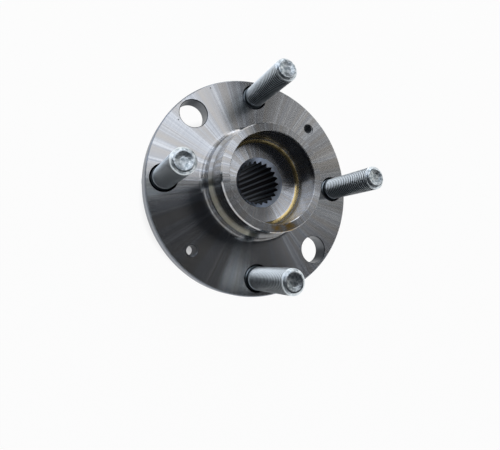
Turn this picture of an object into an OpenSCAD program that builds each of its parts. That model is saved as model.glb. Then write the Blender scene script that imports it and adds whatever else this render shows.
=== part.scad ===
// Driven wheel hub on its sealed double-row ball bearing, for four wheel studs.
// The origin is on the hub's axis in the flange's wheel face, and +Z points along the studs.

/* [Flange] */
// Diameter of the circle that the studs and the smaller holes lie on
stud_circle_d = 100; // [98:0.5:110]
// Metal from the stud circle out to the rim
rim_margin = 9.3; // [9:0.1:14]
// Thickness of the flange at its rim
flange_t = 9.2; // [8:0.1:12]
// Chamfer along the rim on the wheel side
rim_front_chamfer = 0.6; // [0.3:0.1:1]
// Chamfer along the rim on the back
rim_back_chamfer = 1; // [0.5:0.1:1.5]
// How far the web thickens towards the boss behind the flange
web_rise = 1.8; // [1:0.1:2.5]
// Diameter of the two access holes
access_hole_d = 15; // [12:0.5:17]
// Chamfer at both ends of an access hole
access_chamfer = 0.4; // [0.2:0.1:0.8]
// Core diameter of the two tapped holes for the rotor's screws
rotor_screw_core_d = 5; // [4.2:0.1:6.8]
// Countersink at both ends of a tapped hole
rotor_screw_chamfer = 0.8; // [0.4:0.1:1]

/* [Nose] */
// Diameter of the pilot that centres the wheel
wheel_pilot_d = 56.1; // [54:0.1:58]
// Height of the nose above the wheel face
nose_h = 21.8; // [18:0.1:26]
// Lead-in at the nose's outer edge, across
nose_lead_w = 0.55; // [0.3:0.05:1]
// Lead-in at the nose's outer edge, along the axis
nose_lead_h = 0.95; // [0.5:0.05:2]
// Diameter of the shoulder that centres the brake rotor
rotor_pilot_d = 59; // [58.6:0.1:61]
// Height of the rotor shoulder's edge above the wheel face
rotor_pilot_h = 6.9; // [6:0.1:9]
// Fillet between the rotor shoulder and the wheel face
root_fillet = 2.9; // [1.5:0.1:3.5]
// Diameter of the counterbore that the axle nut sits in
nut_bore_d = 47.2; // [44:0.1:49]
// Height of the nut's seat above the wheel face
nut_seat_h = 5; // [2:0.1:8]
// Fillet round the foot of the counterbore
nut_bore_fillet = 2.8; // [1:0.1:3.5]
// Chamfer at the counterbore's mouth
nut_bore_chamfer = 0.3; // [0.1:0.1:0.6]

/* [Spline] */
// Number of tooth spaces round the spline
spline_teeth = 22; // [18:1:28]
// Diameter at the bottom of the tooth spaces
spline_major_d = 24; // [23.4:0.1:25]
// Diameter over the tooth tips
spline_minor_d = 21.6; // [21:0.1:22.6]
// Pressure angle of the tooth flanks at mid depth
spline_pressure_angle = 45; // [37:1:45]
// Diameter of the cone at each mouth of the spline
spline_mouth_d = 27.1; // [26:0.1:29]

/* [Wheel studs] */
// Thread diameter of a stud
stud_thread_d = 12; // [11:0.5:12.5]
// How far a stud stands out of the wheel face
stud_reach = 37.9; // [30:0.1:45]
// Plain length of a stud between the wheel face and its thread
stud_plain = 1.6; // [1:0.1:4]
// Pitch of a stud's thread
stud_pitch = 1.5; // [1.25:0.25:2]
// Diameter of the flat at a stud's tip
stud_tip_d = 9; // [8:0.1:10]
// Depth of the dish in a stud's tip
stud_dish = 0.45; // [0.2:0.05:0.8]
// Diameter of the knurl that grips the flange
stud_knurl_d = 13; // [12.8:0.1:13.6]
// Number of knurl teeth
stud_knurl_teeth = 44; // [30:1:56]
// Depth of the knurl
stud_knurl_depth = 0.35; // [0.2:0.05:0.45]
// Diameter of a stud's head behind the flange
stud_head_d = 17.5; // [16:0.1:18]
// Thickness of a stud's head
stud_head_t = 4.5; // [3:0.1:5.5]
// Width of the countersink round a stud in the wheel face
stud_countersink = 0.8; // [0.4:0.1:1.2]

/* [Bearing] */
// Bore of the inner rings, which the hub's spindle fills
bearing_bore_d = 38; // [36:0.5:39]
// Outer diameter of the bearing
bearing_od = 70; // [69:0.5:74]
// Width of the bearing
bearing_w = 38; // [37:0.5:42]
// Diameter of a ball
ball_d = 9.525; // [9:0.025:9.8]
// Contact angle of the ball rows
contact_angle = 35; // [25:1:40]
// Gap drawn between a ball and its raceways
ball_gap = 0.06; // [0.05:0.01:0.1]
// From a ring's face in to the middle of its ball row
row_inset = 12; // [11.6:0.1:12.6]
// Distance from the back of the flange to the bearing
boss_h = 6; // [5.5:0.1:8]
// Diameter of the boss that the inner ring seats on
boss_d = 47; // [45:0.1:48]
// How far the spindle ends short of the inner ring
spindle_recess = 1.5; // [0.5:0.1:3]

/* [Seals] */
// Thickness of the pressed steel in the seals
seal_sheet_t = 0.7; // [0.5:0.05:0.8]
// Thickness of the rubber on a seal's wall
seal_rubber_t = 0.4; // [0.3:0.05:0.5]
// How far a seal's cover sits inside the ring's face
seal_recess = 0.4; // [0.2:0.05:0.6]
// Gap left at the tips of the seal lips
seal_lip_gap = 0.05; // [0.03:0.01:0.1]

/* [Hidden] */
$fn = 120;
stud_count = 4;
access_hole_angles = [135, 315];
rotor_screw_angles = [45, 225];
balls_per_row = 13;
outboard = 1;
inboard = -1;
cut = 1;
seat_gap = 0.01;

stud_circle_r = stud_circle_d / 2;
rim_r = stud_circle_r + rim_margin;
back_z = -flange_t;
wheel_pilot_r = wheel_pilot_d / 2;
rotor_pilot_r = rotor_pilot_d / 2;
rotor_step = rotor_pilot_r - wheel_pilot_r;
nut_bore_r = nut_bore_d / 2;

bearing_bore_r = bearing_bore_d / 2;
bearing_or = bearing_od / 2;
half_w = bearing_w / 2;
boss_r = boss_d / 2;
spindle_r = bearing_bore_r - seat_gap;
shoulder_z = back_z - boss_h;
bearing_z = shoulder_z - half_w;
bearing_end_z = shoulder_z - bearing_w;
spindle_end_z = bearing_end_z + spindle_recess;
spindle_lead_h = 2;
spindle_lead_w = 0.6;
shoulder_fillet = 1;
boss_fillet = 2;
boss_chamfer = 0.5;

// The web behind the flange stays clear of the stud heads
stud_head_r = stud_head_d / 2;
head_room = 0.8;
web_r = stud_circle_r - stud_head_r - head_room;
web_slope_w = 4.5;

// Spline: tooth spaces with involute flanks
spline_minor_r = spline_minor_d / 2;
spline_major_r = spline_major_d / 2;
spline_mouth_r = spline_mouth_d / 2;
mouth_overcut = 0.8;
mouth_foot_r = spline_minor_r - mouth_overcut;
spline_pitch_r = (spline_minor_r + spline_major_r) / 2;
spline_base_r = spline_pitch_r * cos(spline_pressure_angle);
spline_step = 360 / spline_teeth;
flank_points = 5;

// Studs: the neck between knurl and shank lies in the countersink
stud_r = stud_thread_d / 2;
stud_tip_r = stud_tip_d / 2;
knurl_r = stud_knurl_d / 2;
stud_hole_r = knurl_r + seat_gap;
knurl_end_z = -stud_countersink;
neck_step = 0.25;
stud_neck_r = stud_r - neck_step;
stud_head_chamfer = 0.8;
stud_tip_z = stud_reach - (stud_r - stud_tip_r);
dish_rim = 0.8;
dish_slope_w = 1.2;
dish_r = stud_tip_r - dish_rim;

// Thread: flanks of 60 degrees between a crest of an eighth and a root of a quarter pitch,
// drawn as rings that stand for its turns, which keeps every crest a true cylinder
thread_crest_w = stud_pitch / 8;
thread_root_w = stud_pitch / 4;
thread_flank_w = (stud_pitch - thread_crest_w - thread_root_w) / 2;
thread_root_r = stud_r - thread_flank_w / tan(30);
thread_turns = floor((stud_tip_z - stud_plain) / stud_pitch);

// Ball rows
ball_r = ball_d / 2;
pitch_r = (bearing_bore_r + bearing_or) / 2;
race_conformity = 0.52;
race_r = race_conformity * ball_d;
race_shift = race_r - ball_r - ball_gap;
row_t = half_w - row_inset;
shoulder_high = 2.4;
shoulder_low = 0.65;
outer_land_r = pitch_r + ball_r - shoulder_high;
outer_side_r = pitch_r + ball_r - shoulder_low;
inner_high_r = pitch_r - ball_r + shoulder_high;
inner_low_r = pitch_r - ball_r + shoulder_low;
ring_chamfer = 1;
ring_bore_chamfer = 1.6;
ring_inner_chamfer = 0.4;

// Cages: a crown whose claws reach past the balls' middle
cage_play = 0.2;
pocket_r = ball_r + cage_play;
cage_half_wall = 1.5;
cage_claw = 2;
cage_back = 1.3;

// Seals
seal_seat_depth = 4.9;
seal_seat_step = 0.7;
seal_seat_t = half_w - seal_seat_depth;
seal_seat_r = outer_side_r + seal_seat_step;
case_or = seal_seat_r - seat_gap;
case_ir = case_or - seal_sheet_t;
case_wall_t = seal_seat_t + seal_sheet_t;
case_recess = 0.6;
case_lip_t = half_w - case_recess;
case_hole_room = 3;
case_hole_r = inner_high_r + case_hole_room;
cover_t = half_w - seal_recess;
cover_back_t = cover_t - seal_sheet_t;
cover_room = 0.6;
cover_r = case_ir - cover_room;
sleeve_ir = inner_high_r + seat_gap;
sleeve_or = sleeve_ir + seal_sheet_t;
sleeve_start = 0.4;
sleeve_start_t = case_wall_t + sleeve_start;
lip_tip_w = 0.4;
lip_root_w = 0.8;
radial_lip_lean = 1.3;
radial_lip_t = case_wall_t + radial_lip_lean;
side_lip_r = (case_hole_r + case_ir) / 2;
side_lip_lean = 0.9;

function involute(a) = tan(a) * 180 / PI - a;

// Half the angle that a tooth space takes up at radius r
function space_half(r) =
    spline_step / 4 + involute(spline_pressure_angle) - involute(acos(spline_base_r / r));

function on_circle(r, a) = [r * cos(a), r * sin(a)];

function flank_r(k) = spline_minor_r + (spline_major_r - spline_minor_r) * k / (flank_points - 1);

// Puts a piece drawn along the bearing's half width on one side of its middle
module on_side(side) {
    translate([0, 0, bearing_z])
        if (side == outboard) children();
        else mirror([0, 0, 1]) children();
}

// A round hole through the flange, countersunk at both faces
module flange_hole(r, chamfer) {
    translate([0, 0, back_z - cut])
        cylinder(h = flange_t + 2 * cut, r = r);
    translate([0, 0, -chamfer])
        cylinder(h = chamfer + cut, r1 = r, r2 = r + chamfer + cut);
    translate([0, 0, back_z - cut])
        cylinder(h = chamfer + cut, r1 = r + chamfer + cut, r2 = r);
}

module at_circle(a) {
    rotate([0, 0, a])
        translate([stud_circle_r, 0, 0])
            children();
}

// The outline leaves a square of metal in each inside corner, and a circle rounds it out
module hub_outline() {
    web_z = back_z - web_rise;
    difference() {
        polygon([
            [0, nose_h],
            [wheel_pilot_r - nose_lead_w, nose_h],
            [wheel_pilot_r, nose_h - nose_lead_h],
            [wheel_pilot_r, rotor_pilot_h + rotor_step],
            [rotor_pilot_r, rotor_pilot_h],
            [rotor_pilot_r, root_fillet],
            [rotor_pilot_r + root_fillet, root_fillet],
            [rotor_pilot_r + root_fillet, 0],
            [rim_r - rim_front_chamfer, 0],
            [rim_r, -rim_front_chamfer],
            [rim_r, back_z + rim_back_chamfer],
            [rim_r - rim_back_chamfer, back_z],
            [web_r, back_z],
            [web_r - web_slope_w, web_z],
            [boss_r + boss_fillet, web_z],
            [boss_r + boss_fillet, web_z - boss_fillet],
            [boss_r, web_z - boss_fillet],
            [boss_r, shoulder_z + boss_chamfer],
            [boss_r - boss_chamfer, shoulder_z],
            [spindle_r + shoulder_fillet, shoulder_z],
            [spindle_r + shoulder_fillet, shoulder_z - shoulder_fillet],
            [spindle_r, shoulder_z - shoulder_fillet],
            [spindle_r, spindle_end_z + spindle_lead_h],
            [spindle_r - spindle_lead_w, spindle_end_z],
            [0, spindle_end_z]
        ]);
        translate([rotor_pilot_r + root_fillet, root_fillet])
            circle(root_fillet);
        translate([boss_r + boss_fillet, web_z - boss_fillet])
            circle(boss_fillet);
        translate([spindle_r + shoulder_fillet, shoulder_z - shoulder_fillet])
            circle(shoulder_fillet);
    }
}

module nut_bore_outline() {
    polygon([
        [0, nut_seat_h],
        [nut_bore_r - nut_bore_fillet, nut_seat_h],
        [nut_bore_r - nut_bore_fillet, nut_seat_h + nut_bore_fillet],
        [nut_bore_r, nut_seat_h + nut_bore_fillet],
        [nut_bore_r, nose_h - nut_bore_chamfer],
        [nut_bore_r + nut_bore_chamfer + cut, nose_h + cut],
        [0, nose_h + cut]
    ]);
}

module spline_outline() {
    polygon([
        for (i = [0:spline_teeth - 1])
            let (a = i * spline_step)
            each concat(
                [for (k = [0:flank_points - 1]) on_circle(flank_r(k), a - space_half(flank_r(k)))],
                [for (k = [flank_points - 1:-1:0]) on_circle(flank_r(k), a + space_half(flank_r(k)))],
                [on_circle(spline_minor_r, a + spline_step / 2)]
            )
    ]);
}

module hub_flange() {
    mouth_h = spline_mouth_r - mouth_foot_r;
    color("silver")
        difference() {
            rotate_extrude()
                hub_outline();
            rotate_extrude()
                nut_bore_outline();
            rotate_extrude()
                translate([nut_bore_r - nut_bore_fillet, nut_seat_h + nut_bore_fillet])
                    circle(nut_bore_fillet);
            translate([0, 0, spindle_end_z - cut])
                linear_extrude(height = nut_seat_h - spindle_end_z + 2 * cut)
                    spline_outline();
            translate([0, 0, nut_seat_h - mouth_h])
                cylinder(h = mouth_h, r1 = mouth_foot_r, r2 = spline_mouth_r);
            translate([0, 0, spindle_end_z - cut])
                cylinder(h = mouth_h + cut, r1 = spline_mouth_r + cut, r2 = mouth_foot_r);
            for (i = [0:stud_count - 1])
                at_circle(i * 360 / stud_count)
                    flange_hole(stud_hole_r, stud_countersink);
            for (a = access_hole_angles)
                at_circle(a)
                    flange_hole(access_hole_d / 2, access_chamfer);
            for (a = rotor_screw_angles)
                at_circle(a)
                    flange_hole(rotor_screw_core_d / 2, rotor_screw_chamfer);
        }
}

module knurl_outline() {
    step = 360 / stud_knurl_teeth;
    polygon([
        for (i = [0:stud_knurl_teeth - 1])
            each [
                on_circle(knurl_r, i * step),
                on_circle(knurl_r - stud_knurl_depth, (i + 0.5) * step)
            ]
    ]);
}

// The grooves of a stud's thread, from its foot to its tip
function thread_outline() = [
    for (i = [0:thread_turns - 1])
        let (groove_z = stud_plain + i * stud_pitch + thread_crest_w / 2)
            each [
                [stud_r, groove_z],
                [thread_root_r, groove_z + thread_flank_w],
                [thread_root_r, groove_z + thread_flank_w + thread_root_w],
                [stud_r, groove_z + 2 * thread_flank_w + thread_root_w]
            ]
];

// A pressed stud: head behind the flange, knurl in it, neck, threaded shank and dished tip
module wheel_stud(i) {
    color("lightsteelblue")
        at_circle((i - 1) * 360 / stud_count) {
            rotate_extrude()
                polygon(concat(
                    [
                        [0, back_z - stud_head_t],
                        [stud_head_r - stud_head_chamfer, back_z - stud_head_t],
                        [stud_head_r, back_z - stud_head_t + stud_head_chamfer],
                        [stud_head_r, back_z],
                        [stud_neck_r, back_z],
                        [stud_neck_r, 0],
                        [stud_r, 0]
                    ],
                    thread_outline(),
                    [
                        [stud_r, stud_tip_z],
                        [stud_tip_r, stud_reach],
                        [dish_r, stud_reach],
                        [dish_r - dish_slope_w, stud_reach - stud_dish],
                        [0, stud_reach - stud_dish]
                    ]
                ));
            translate([0, 0, back_z])
                linear_extrude(height = knurl_end_z - back_z)
                    knurl_outline();
        }
}

module outer_ring() {
    color("gray")
        translate([0, 0, bearing_z])
            rotate_extrude()
                difference() {
                    polygon([
                        [bearing_or, -half_w + ring_chamfer],
                        [bearing_or, half_w - ring_chamfer],
                        [bearing_or - ring_chamfer, half_w],
                        [seal_seat_r + ring_inner_chamfer, half_w],
                        [seal_seat_r, half_w - ring_inner_chamfer],
                        [seal_seat_r, seal_seat_t],
                        [outer_side_r, seal_seat_t],
                        [outer_side_r, row_t],
                        [outer_land_r, row_t],
                        [outer_land_r, -row_t],
                        [outer_side_r, -row_t],
                        [outer_side_r, -seal_seat_t],
                        [seal_seat_r, -seal_seat_t],
                        [seal_seat_r, -half_w + ring_inner_chamfer],
                        [seal_seat_r + ring_inner_chamfer, -half_w],
                        [bearing_or - ring_chamfer, -half_w]
                    ]);
                    for (side = [outboard, inboard])
                        translate([
                            pitch_r - race_shift * cos(contact_angle),
                            side * (row_t + race_shift * sin(contact_angle))
                        ])
                            circle(race_r);
                }
}

module inner_ring(side) {
    color("darkgray")
        on_side(side)
            rotate_extrude()
                difference() {
                    polygon([
                        [bearing_bore_r + ring_inner_chamfer, 0],
                        [inner_low_r, 0],
                        [inner_low_r, row_t],
                        [inner_high_r, row_t],
                        [inner_high_r, half_w - ring_inner_chamfer],
                        [inner_high_r - ring_inner_chamfer, half_w],
                        [bearing_bore_r + ring_bore_chamfer, half_w],
                        [bearing_bore_r, half_w - ring_bore_chamfer],
                        [bearing_bore_r, ring_inner_chamfer]
                    ]);
                    translate([
                        pitch_r + race_shift * cos(contact_angle),
                        row_t - race_shift * sin(contact_angle)
                    ])
                        circle(race_r);
                }
}

module at_ball(side, i) {
    on_side(side)
        rotate([0, 0, (i - 1) * 360 / balls_per_row])
            translate([pitch_r, 0, row_t])
                children();
}

module ball(side, i) {
    color("gainsboro")
        at_ball(side, i)
            sphere(ball_r);
}

module cage(side) {
    color("wheat")
        difference() {
            on_side(side)
                rotate_extrude()
                    translate([pitch_r - cage_half_wall, row_t - cage_claw])
                        square([2 * cage_half_wall, cage_claw + pocket_r + cage_back]);
            for (i = [1:balls_per_row])
                at_ball(side, i)
                    sphere(pocket_r);
        }
}

// The pressed case that holds a seal in the outer ring
module seal_case(side) {
    color("slategray")
        on_side(side)
            rotate_extrude()
                polygon([
                    [case_or, seal_seat_t],
                    [case_or, case_lip_t],
                    [case_ir, case_lip_t],
                    [case_ir, case_wall_t],
                    [case_hole_r, case_wall_t],
                    [case_hole_r, seal_seat_t]
                ]);
}

// The rubber on the case's wall, with a lip to the sleeve and a lip to the cover
module seal_lip(side) {
    rubber_t = case_wall_t + seal_rubber_t;
    tip_r = sleeve_or + seal_lip_gap;
    side_tip_t = cover_back_t - seal_lip_gap;
    color("dimgray")
        on_side(side)
            rotate_extrude()
                polygon([
                    [case_hole_r, seal_seat_t],
                    [case_hole_r - lip_root_w, seal_seat_t],
                    [tip_r, radial_lip_t],
                    [tip_r, radial_lip_t + lip_tip_w],
                    [case_hole_r - lip_root_w, rubber_t],
                    [side_lip_r - lip_root_w / 2, rubber_t],
                    [side_lip_r + side_lip_lean - lip_tip_w / 2, side_tip_t],
                    [side_lip_r + side_lip_lean + lip_tip_w / 2, side_tip_t],
                    [side_lip_r + lip_root_w / 2, rubber_t],
                    [case_ir - seal_rubber_t, rubber_t],
                    [case_ir - seal_rubber_t, case_wall_t],
                    [case_hole_r, case_wall_t]
                ]);
}

// The pressed cover that turns with the inner ring
module seal_cover(side) {
    color("lightgray")
        on_side(side)
            rotate_extrude()
                polygon([
                    [sleeve_ir, sleeve_start_t],
                    [sleeve_or, sleeve_start_t],
                    [sleeve_or, cover_back_t],
                    [cover_r, cover_back_t],
                    [cover_r, cover_t],
                    [sleeve_ir, cover_t]
                ]);
}

hub_flange();
for (i = [1:stud_count])
    wheel_stud(i);
outer_ring();
inner_ring(outboard);  // inner_ring_outboard
inner_ring(inboard);  // inner_ring_inboard
cage(outboard);  // cage_outboard
cage(inboard);  // cage_inboard
seal_case(outboard);  // seal_case_outboard
seal_case(inboard);  // seal_case_inboard
seal_lip(outboard);  // seal_lip_outboard
seal_lip(inboard);  // seal_lip_inboard
seal_cover(outboard);  // seal_cover_outboard
seal_cover(inboard);  // seal_cover_inboard
for (i = [1:balls_per_row])
    ball(outboard, i);
for (i = [1:balls_per_row])
    ball(inboard, i);
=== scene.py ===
import math
import bmesh
import bpy
from mathutils import Matrix, Vector


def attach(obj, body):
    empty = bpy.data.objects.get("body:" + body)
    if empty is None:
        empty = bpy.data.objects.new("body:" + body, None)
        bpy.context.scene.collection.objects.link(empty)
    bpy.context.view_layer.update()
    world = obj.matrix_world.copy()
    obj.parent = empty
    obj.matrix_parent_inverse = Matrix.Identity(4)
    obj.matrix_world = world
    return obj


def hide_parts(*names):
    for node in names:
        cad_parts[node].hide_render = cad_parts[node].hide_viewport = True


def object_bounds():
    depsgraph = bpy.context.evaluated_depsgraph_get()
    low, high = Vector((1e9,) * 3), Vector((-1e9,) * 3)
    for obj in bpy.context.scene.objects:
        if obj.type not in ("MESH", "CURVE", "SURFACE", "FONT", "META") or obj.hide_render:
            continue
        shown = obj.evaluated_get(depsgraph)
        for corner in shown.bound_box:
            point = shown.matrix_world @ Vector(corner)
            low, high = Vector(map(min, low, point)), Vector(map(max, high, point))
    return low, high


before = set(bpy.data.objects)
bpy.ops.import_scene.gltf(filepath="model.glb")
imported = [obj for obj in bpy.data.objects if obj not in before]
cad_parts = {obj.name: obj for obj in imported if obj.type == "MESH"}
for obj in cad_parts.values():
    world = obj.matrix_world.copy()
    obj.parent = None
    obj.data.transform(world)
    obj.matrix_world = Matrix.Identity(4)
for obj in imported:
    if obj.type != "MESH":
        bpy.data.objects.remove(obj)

mm = 0.001
cadLow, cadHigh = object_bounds()
print("frame loaded with", len(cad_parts), "nodes")


def linearColour(hexText):
    channels = [int(hexText[i:i + 2], 16) / 255 for i in (1, 3, 5)]
    return tuple(c / 12.92 if c <= 0.04045 else ((c + 0.055) / 1.055) ** 2.4 for c in channels) + (1.0,)


def addNode(tree, kind, settings=None, inputs=None):
    # an input takes a plain value or another node's socket
    node = tree.nodes.new(kind)
    for name, value in (settings or {}).items():
        setattr(node, name, value)
    for name, value in (inputs or {}).items():
        if isinstance(value, bpy.types.NodeSocket):
            tree.links.new(value, node.inputs[name])
        else:
            node.inputs[name].default_value = value
    return node


def newMaterial(name):
    material = bpy.data.materials.new(name)
    material.use_nodes = True
    material.node_tree.nodes.clear()
    return material


def finishMaterial(material, shader):
    addNode(material.node_tree, "ShaderNodeOutputMaterial", None, {"Surface": shader.outputs[0]})
    return material


def linkObject(name, data):
    made = bpy.data.objects.new(name, data)
    bpy.context.scene.collection.objects.link(made)
    return made


def applyModifiers(source, name):
    # the evaluated object becomes a plain mesh, and the source goes
    bpy.context.view_layer.update()
    evaluated = source.evaluated_get(bpy.context.evaluated_depsgraph_get())
    mesh = bpy.data.meshes.new_from_object(evaluated)
    mesh.name = name
    made = linkObject(name, mesh)
    bpy.data.objects.remove(source)
    return made


# Camera, at the place from which the photograph was taken
view = {
    "location": (-90.76, -38.64, 190.33),  # mm
    "right": (0.90978, -0.01288, 0.41488),  # where the picture's right side and its top point
    "up": (-0.06735, 0.98169, 0.17816),
    "lens": 28.352,
    "shiftUp": -0.09,
    "nearest": 0.01,  # metres
}
cameraData = bpy.data.cameras.new("photoCamera")
cameraData.lens = view["lens"]
cameraData.shift_y = view["shiftUp"]
cameraData.clip_start = view["nearest"]
camera = linkObject("photoCamera", cameraData)
rightAxis = Vector(view["right"]).normalized()
upAxis = Vector(view["up"])
upAxis = (upAxis - upAxis.project(rightAxis)).normalized()
backAxis = rightAxis.cross(upAxis)
turn = Matrix((rightAxis, upAxis, backAxis)).transposed()
camera.matrix_world = Matrix.Translation(Vector(view["location"]) * mm) @ turn.to_4x4()
bpy.context.scene.camera = camera
print("camera placed")


# Studio: a white floor and horizon under a dark ceiling, which the soft boxes break
studio = {
    "horizonColour": "#FFFFFF",
    "ceilingColour": "#26282C",
    "horizonTop": 10,  # degrees up to which the backdrop stays white, and from which it is ceiling
    "ceilingFrom": 16,
    "floorColour": "#EDEDED",
    "floorSize": 12.0,  # metres
    "floorGlow": 0.96,
    "footShade": (34, 54, 0.12),  # mm: under the bearing, out to the open floor, and the share of light there
    # name, place in metres, size in metres, aimed at the hub or straight down, brightness, colour
    "softBoxes": [
        ("farBox", (0.10, 1.60, 0.45), (0.50, 0.75), "hub", 2.4, "#F6F9FF"),
        ("rightBox", (1.25, 0.20, 0.78), (0.70, 0.40), "hub", 1.2, "#FFFDF8"),
        ("kickerBox", (0.82, 0.66, 1.2), (0.20, 0.48), "down", 0.9, "#FFFFFF"),
        ("fillHigh", (0.76, 0.40, 1.2), (0.40, 0.44), "down", 0.4, "#FFFFFF"),
        ("cornerBox", (0.85, 0.50, 0.70), (0.34, 0.30), "hub", 0.9, "#FFFFFF"),
        ("lowRightBox", (0.95, 0.80, 0.45), (0.42, 0.42), "hub", 1.1, "#FFFFFF"),
        ("leftBox", (-1.10, 0.98, 0.50), (1.15, 0.55), "hub", 1.3, "#E6EFFF"),
    ],
}
# A tall window overhead, whose light fades towards its right edge
tallWindow = {
    "place": (-0.10, 1.23, 1.2), "size": (1.30, 1.96), "brightness": 1.42, "colour": "#F6F9FF",
    # the light fades with the angle round this corner, in degrees from dark to full
    "corner": (0.574, 0.244), "fade": (98, 118),
}


def makeWorld():
    world = bpy.data.worlds.new("whiteCove")
    bpy.context.scene.world = world
    world.use_nodes = True
    tree = world.node_tree
    tree.nodes.clear()
    place = addNode(tree, "ShaderNodeTexCoord").outputs["Generated"]
    parts = addNode(tree, "ShaderNodeSeparateXYZ", None, {"Vector": place}).outputs
    height = addNode(tree, "ShaderNodeMapRange", {"interpolation_type": "SMOOTHSTEP"}, {
        "Value": parts["Z"],
        "From Min": math.sin(math.radians(studio["horizonTop"])),
        "From Max": math.sin(math.radians(studio["ceilingFrom"]))}).outputs["Result"]
    shade = addNode(tree, "ShaderNodeMix", {"data_type": "RGBA"}, {
        "Factor": height, "A": linearColour(studio["horizonColour"]),
        "B": linearColour(studio["ceilingColour"])}).outputs["Result"]
    glow = addNode(tree, "ShaderNodeBackground", None, {"Color": shade})
    addNode(tree, "ShaderNodeOutputWorld", None, {"Surface": glow.outputs[0]})


def floorMaterial():
    # matt white paper: it glows for the camera and for metal and glass, and keeps the shadow
    material = newMaterial("whitePaperFloor")
    tree = material.node_tree
    paint = addNode(tree, "ShaderNodeBsdfDiffuse", None, {"Color": linearColour(studio["floorColour"])})
    glow = addNode(tree, "ShaderNodeEmission", None, {"Color": (1, 1, 1, 1), "Strength": 1})
    path = addNode(tree, "ShaderNodeLightPath").outputs
    seen = path["Is Camera Ray"]
    for other in (path["Is Glossy Ray"], path["Is Transmission Ray"]):
        seen = addNode(tree, "ShaderNodeMath", {"operation": "MAXIMUM"}, {0: seen, 1: other}).outputs[0]
    # the glow dims under and round the bearing: a painted shadow on the floor
    place = addNode(tree, "ShaderNodeTexCoord").outputs["Object"]
    fromFoot = addNode(tree, "ShaderNodeVectorMath", {"operation": "DISTANCE"}, {
        0: place, 1: (0, 0, cadLow.z)}).outputs["Value"]
    footFrom, footTo, footShare = studio["footShade"]
    level = addNode(tree, "ShaderNodeMapRange", None, {
        "Value": fromFoot, "From Min": footFrom * mm, "From Max": footTo * mm,
        "To Min": footShare * studio["floorGlow"], "To Max": studio["floorGlow"]}).outputs["Result"]
    share = addNode(tree, "ShaderNodeMath", {"operation": "MULTIPLY"}, {0: seen, 1: level}).outputs[0]
    mixed = addNode(tree, "ShaderNodeMixShader", None, {0: share, 1: paint.outputs[0], 2: glow.outputs[0]})
    material.cycles.emission_sampling = "NONE"  # reflections find the glow without it, and with less grain
    return finishMaterial(material, mixed)


def makeFloor():
    half = studio["floorSize"] / 2
    low = cadLow.z
    mesh = bpy.data.meshes.new("studioFloor")
    corners = [(-half, -half, low), (half, -half, low), (half, half, low), (-half, half, low)]
    mesh.from_pydata(corners, [], [(0, 1, 2, 3)])
    mesh.materials.append(floorMaterial())
    linkObject("studioFloor", mesh)


def addLamp(name, place, size, brightness, colour):
    # brightness is for each square metre, so a larger lamp mirrors no brighter
    lampData = bpy.data.lights.new(name, "AREA")
    lampData.shape = "RECTANGLE"
    lampData.size, lampData.size_y = size
    lampData.energy = brightness * math.pi * size[0] * size[1]
    lampData.color = linearColour(colour)[:3]
    lamp = linkObject(name, lampData)
    lamp.location = place
    return lamp


def makeSoftBoxes():
    for name, place, size, aim, brightness, colour in studio["softBoxes"]:
        lamp = addLamp(name, place, size, brightness, colour)
        if aim == "hub":
            lamp.rotation_euler = Vector(place).to_track_quat("Z", "Y").to_euler()


def makeTallWindow():
    lamp = addLamp("tallWindow", *(tallWindow[key] for key in ("place", "size", "brightness", "colour")))
    lamp.data.use_nodes = True
    tree = lamp.data.node_tree
    tree.nodes.clear()
    place = addNode(tree, "ShaderNodeNewGeometry").outputs["Position"]
    fromCorner = addNode(tree, "ShaderNodeVectorMath", {"operation": "SUBTRACT"}, {
        0: place, 1: (*tallWindow["corner"], 0)}).outputs[0]
    x, y, z = addNode(tree, "ShaderNodeSeparateXYZ", None, {0: fromCorner}).outputs
    angle = addNode(tree, "ShaderNodeMath", {"operation": "ARCTAN2"}, {0: y, 1: x}).outputs[0]
    dark, full = tallWindow["fade"]
    share = addNode(tree, "ShaderNodeMapRange", {"interpolation_type": "SMOOTHSTEP"}, {
        "Value": angle, "From Min": math.radians(dark), "From Max": math.radians(full)}).outputs["Result"]
    glow = addNode(tree, "ShaderNodeEmission", None, {"Strength": share})
    addNode(tree, "ShaderNodeOutputLight", None, {"Surface": glow.outputs[0]})


makeWorld()
makeFloor()
makeSoftBoxes()
makeTallWindow()
print("studio lit")


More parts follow.
